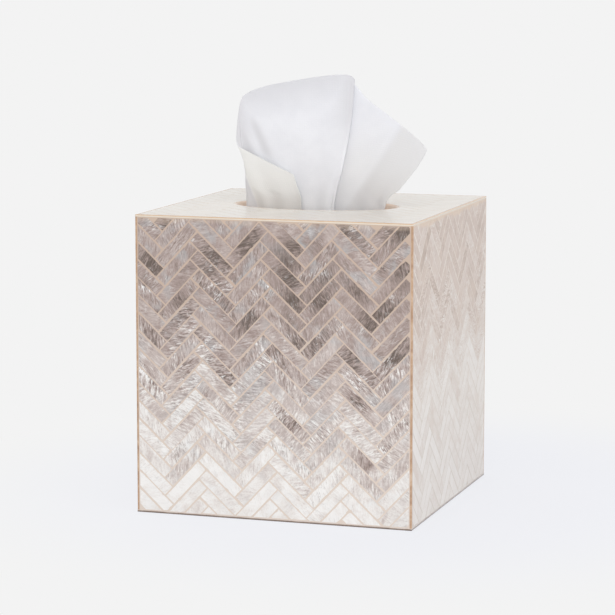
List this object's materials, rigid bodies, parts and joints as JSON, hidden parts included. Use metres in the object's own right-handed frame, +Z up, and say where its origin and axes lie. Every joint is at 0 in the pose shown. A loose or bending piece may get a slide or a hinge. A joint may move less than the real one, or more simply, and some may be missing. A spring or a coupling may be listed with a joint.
{
  "type": "tissue box cover",
  "caption": "Square tissue box cover clad in herringbone shell tiles, fading from smoky grey to white, with an oval slot; it stands over a carton and a tissue pulls out of the top.",
  "frame": {"origin": "middle of the cover's footprint, on the surface that it stands on", "axes": "+X to the right and +Y to the back, seen from the front face, and +Z up"},
  "size_m": [0.14, 0.14, 0.213],
  "materials": {
    "board": "matte",
    "pin_steel": "satin",
    "edge_strip": "gloss",
    "grout": "gloss",
    "shell": "polished",
    "carton_board": "matte",
    "film": "gloss",
    "tissue_paper": "matte",
    "loose_tissues": "matte"
  },
  "bodies": {
    "refill": {"carton_walls": "carton_board", "carton_base": "carton_board", "carton_top": "carton_board", "carton_film": "film", "tissue_stack": "loose_tissues"},
    "cover": {"front_board": "board", "right_board": "board", "back_board": "board", "left_board": "board", "top_board": "board", "wall_pins": "pin_steel", "top_pins": "pin_steel", "oval_rim": "edge_strip", "front_top_strip": "edge_strip", "right_top_strip": "edge_strip", "back_top_strip": "edge_strip", "left_top_strip": "edge_strip", "front_bottom_strip": "edge_strip", "right_bottom_strip": "edge_strip", "back_bottom_strip": "edge_strip", "left_bottom_strip": "edge_strip", "front_left_corner_strip": "edge_strip", "front_right_corner_strip": "edge_strip", "back_right_corner_strip": "edge_strip", "back_left_corner_strip": "edge_strip", "front_grout": "grout", "right_grout": "grout", "back_grout": "grout", "left_grout": "grout", "top_grout": "grout", "front_tiles": "shell", "right_tiles": "shell", "back_tiles": "shell", "left_tiles": "shell", "top_tiles": "shell"},
    "tissue": {"raised_tissue": "tissue_paper"}
  },
  "joints": [
    {"name": "cover_lift", "type": "slide", "parent": "refill", "child": "cover", "axis": [0, 0, 1], "range_m": [0, 0.17]},
    {"name": "tissue_pull", "type": "slide", "parent": "cover", "child": "tissue", "axis": [0, 0, 1], "range_m": [0, 0.06]}
  ]
}
